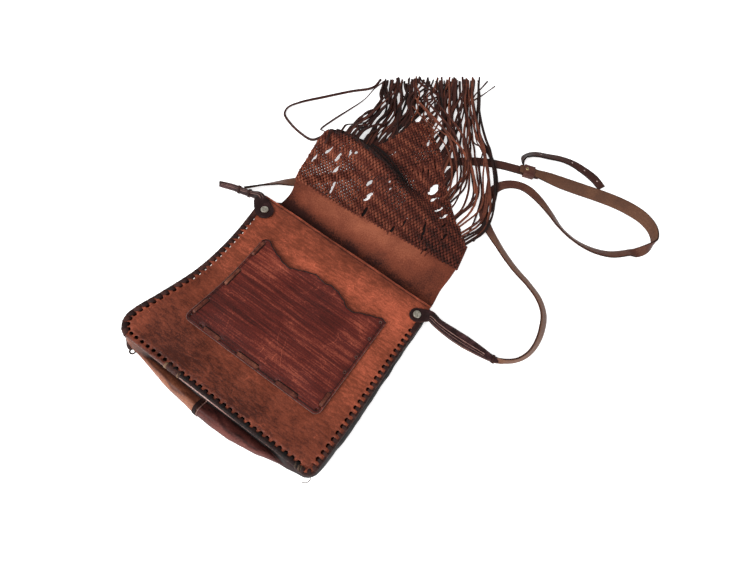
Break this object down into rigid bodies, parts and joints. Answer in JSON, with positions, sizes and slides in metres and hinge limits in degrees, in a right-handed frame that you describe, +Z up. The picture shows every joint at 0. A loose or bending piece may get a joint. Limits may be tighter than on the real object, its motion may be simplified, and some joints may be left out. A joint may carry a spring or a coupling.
{
  "type": "fringe crossbody bag",
  "caption": "Laced leather crossbody bag lying on its back, with a patch pocket, riveted strap and an open flap that ends in a knotted net and a long fringe.",
  "frame": {"origin": "middle of the back panel's underside, where the bag rests on the floor", "axes": "+X across the bag to its right as seen from the front, +Y from its bottom to its mouth and on along the open flap, +Z up out of the front panel"},
  "size_m": [0.5135, 0.6272, 0.0393],
  "materials": {
    "panel_leather": "worn oiled grain leather",
    "flap_leather": "matt flesh-side leather",
    "gusset_left_leather": "creased grain leather",
    "gusset_right_leather": "glossy dark grain leather",
    "pocket_leather": "dark streaked grain leather",
    "base_leather": "dark folded leather",
    "rivet_nickel": "worn nickel plate",
    "net_leather": "matt knotted thongs",
    "fringe_leather": "matt cut thongs",
    "strap_leather": "matt flesh-side strap leather",
    "keeper_leather": "dark strap leather",
    "rivet_brass": "worn brass"
  },
  "bodies": {
    "root": {"front_panel": "panel_leather", "back_flap_panel": "flap_leather", "gusset_left": "gusset_left_leather", "gusset_right": "gusset_right_leather", "pocket": "pocket_leather", "strap_base_left": "base_leather", "strap_base_right": "base_leather", "rivet_left": "rivet_nickel", "rivet_right": "rivet_nickel", "flap_net": "net_leather", "fringe": "fringe_leather", "strap_long": "strap_leather", "strap_main": "strap_leather", "strap_tail": "strap_leather", "strap_keeper": "keeper_leather", "strap_rivet": "rivet_brass"}
  },
  "joints": []
}
